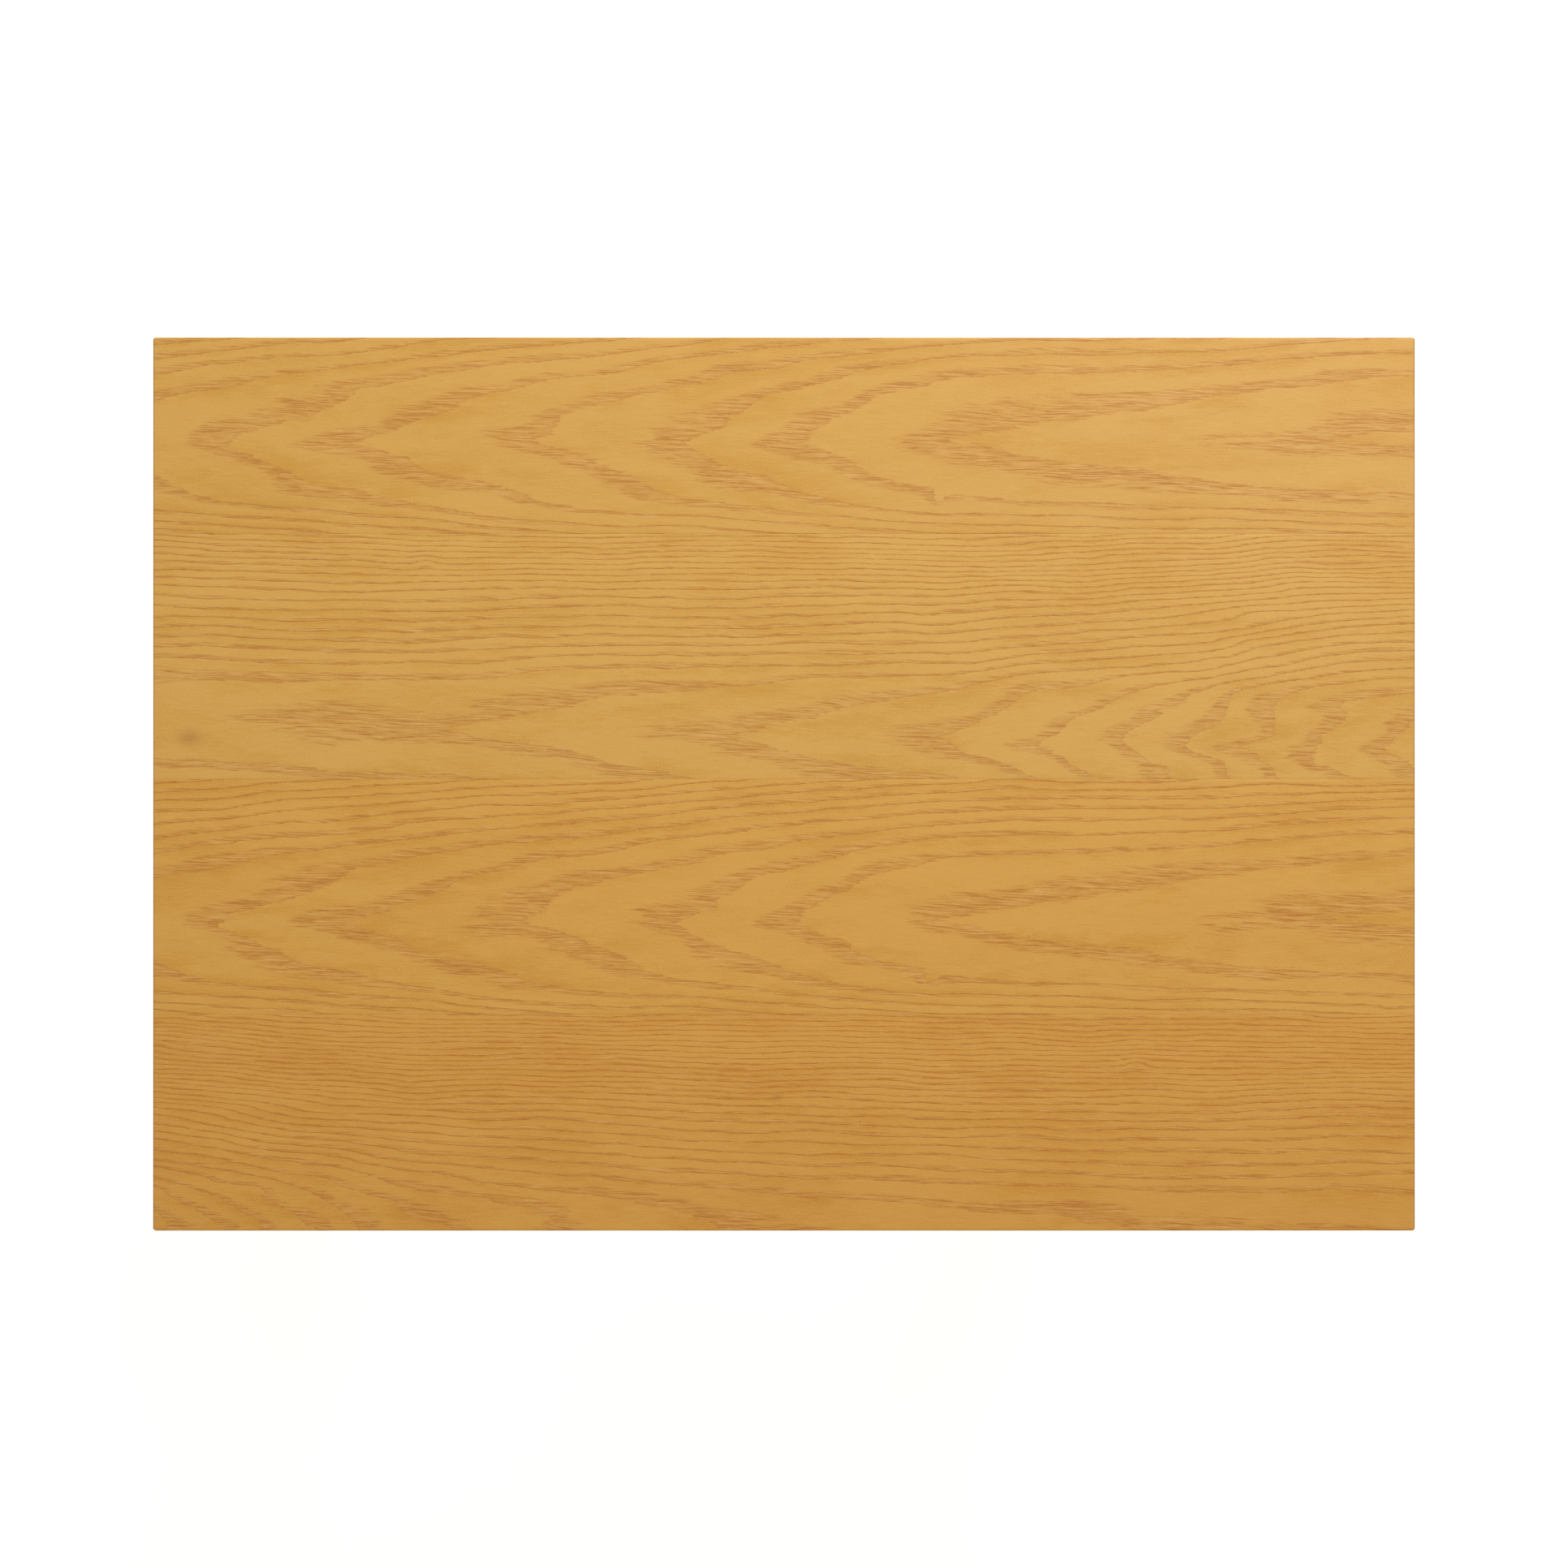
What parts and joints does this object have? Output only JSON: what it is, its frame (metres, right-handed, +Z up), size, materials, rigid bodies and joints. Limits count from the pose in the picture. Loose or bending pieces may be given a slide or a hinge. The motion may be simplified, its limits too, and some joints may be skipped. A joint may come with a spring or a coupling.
{
  "type": "drafting table",
  "caption": "Wooden drafting table with a plain veneered board that tilts and locks on two sliding posts, each clamped between the cheeks of an arched foot.",
  "frame": {"origin": "on the floor, under the middle of the board", "axes": "+X along the board's long side, to the right of someone sitting at it; -Y towards the drafter; +Z up"},
  "size_m": [0.918, 0.65, 0.76],
  "materials": {
    "veneer": "satin clear lacquer over open-pored, slip-matched veneer",
    "lipping": "satin clear lacquer",
    "core_board": "raw chipboard",
    "solid_ash": "satin clear lacquer over solid wood",
    "dowel": "sanded flush, satin",
    "black_steel": "fine-textured black powder coat",
    "zinc_steel": "bright zinc plate",
    "brass": "turned",
    "nylon": "moulded, matt",
    "knob_plastic": "moulded, fine spark-eroded texture",
    "glide_plastic": "moulded, matt"
  },
  "bodies": {
    "base": {"stretcher": "solid_ash", "foot_left": "solid_ash", "cheek_inner_left": "solid_ash", "cheek_outer_left": "solid_ash", "spacer_block_left": "solid_ash", "frame_bolt_left": "zinc_steel", "barrel_nut_left": "zinc_steel", "height_bolt_left": "zinc_steel", "guide_pin_left": "zinc_steel", "foot_dowel_front_left": "dowel", "foot_dowel_back_left": "dowel", "glide_front_left": "glide_plastic", "glide_back_left": "glide_plastic", "foot_right": "solid_ash", "cheek_inner_right": "solid_ash", "cheek_outer_right": "solid_ash", "spacer_block_right": "solid_ash", "frame_bolt_right": "zinc_steel", "barrel_nut_right": "zinc_steel", "height_bolt_right": "zinc_steel", "guide_pin_right": "zinc_steel", "foot_dowel_front_right": "dowel", "foot_dowel_back_right": "dowel", "glide_front_right": "glide_plastic", "glide_back_right": "glide_plastic"},
    "carriage": {"cross_rail": "solid_ash", "post_left": "solid_ash", "rail_screw_left": "zinc_steel", "threaded_insert_left": "brass", "pivot_bolt_left": "zinc_steel", "pivot_nut_left": "zinc_steel", "pivot_spacer_left": "nylon", "post_right": "solid_ash", "rail_screw_right": "zinc_steel", "threaded_insert_right": "brass", "pivot_bolt_right": "zinc_steel", "pivot_nut_right": "zinc_steel", "pivot_spacer_right": "nylon"},
    "board": {"core_panel": "core_board", "face_veneer": "veneer", "back_veneer": "veneer", "lipping_front": "lipping", "lipping_back": "lipping", "lipping_left": "lipping", "lipping_right": "lipping", "batten_left": "solid_ash", "batten_right": "solid_ash", "quadrant_left": "black_steel", "quadrant_right": "black_steel"},
    "tilt_washer_left": {"tilt_washer_left": "zinc_steel"},
    "tilt_knob_left": {"tilt_knob_left": "knob_plastic", "tilt_stud_left": "zinc_steel"},
    "height_washer_left": {"height_washer_left": "zinc_steel"},
    "height_knob_left": {"height_knob_left": "knob_plastic"},
    "tilt_washer_right": {"tilt_washer_right": "zinc_steel"},
    "tilt_knob_right": {"tilt_knob_right": "knob_plastic", "tilt_stud_right": "zinc_steel"},
    "height_washer_right": {"height_washer_right": "zinc_steel"},
    "height_knob_right": {"height_knob_right": "knob_plastic"}
  },
  "joints": [
    {"name": "height_slide", "type": "slide", "parent": "base", "child": "carriage", "axis": [0, 0, 1], "range_m": [0, 0.2]},
    {"name": "board_tilt", "type": "hinge", "parent": "carriage", "child": "board", "pos_m": [0, 0, 0.694], "axis": [1, 0, 0], "range_deg": [0, 65]},
    {"name": "tilt_washer_travel_left", "type": "slide", "parent": "carriage", "child": "tilt_washer_left", "axis": [-1, 0, 0], "range_m": [0, 0.0026]},
    {"name": "tilt_knob_turn_left", "type": "hinge", "parent": "tilt_washer_left", "child": "tilt_knob_left", "pos_m": [-0.35, 0, 0.579], "axis": [-1, 0, 0], "range_deg": [0, 720]},
    {"name": "height_washer_travel_left", "type": "slide", "parent": "base", "child": "height_washer_left", "axis": [-1, 0, 0], "range_m": [0, 0.0026]},
    {"name": "height_knob_turn_left", "type": "hinge", "parent": "height_washer_left", "child": "height_knob_left", "pos_m": [-0.35, 0, 0.5], "axis": [-1, 0, 0], "range_deg": [0, 720]},
    {"name": "tilt_washer_travel_right", "type": "slide", "parent": "carriage", "child": "tilt_washer_right", "axis": [1, 0, 0], "range_m": [0, 0.0026]},
    {"name": "tilt_knob_turn_right", "type": "hinge", "parent": "tilt_washer_right", "child": "tilt_knob_right", "pos_m": [0.35, 0, 0.579], "axis": [1, 0, 0], "range_deg": [0, 720]},
    {"name": "height_washer_travel_right", "type": "slide", "parent": "base", "child": "height_washer_right", "axis": [1, 0, 0], "range_m": [0, 0.0026]},
    {"name": "height_knob_turn_right", "type": "hinge", "parent": "height_washer_right", "child": "height_knob_right", "pos_m": [0.35, 0, 0.5], "axis": [1, 0, 0], "range_deg": [0, 720]}
  ],
  "couplings": [
    {"joint": "tilt_washer_travel_left", "follows": "tilt_knob_turn_left", "m_per_rad": 0.00019894},
    {"joint": "height_washer_travel_left", "follows": "height_knob_turn_left", "m_per_rad": 0.00019894},
    {"joint": "tilt_washer_travel_right", "follows": "tilt_knob_turn_right", "m_per_rad": 0.00019894},
    {"joint": "height_washer_travel_right", "follows": "height_knob_turn_right", "m_per_rad": 0.00019894}
  ]
}
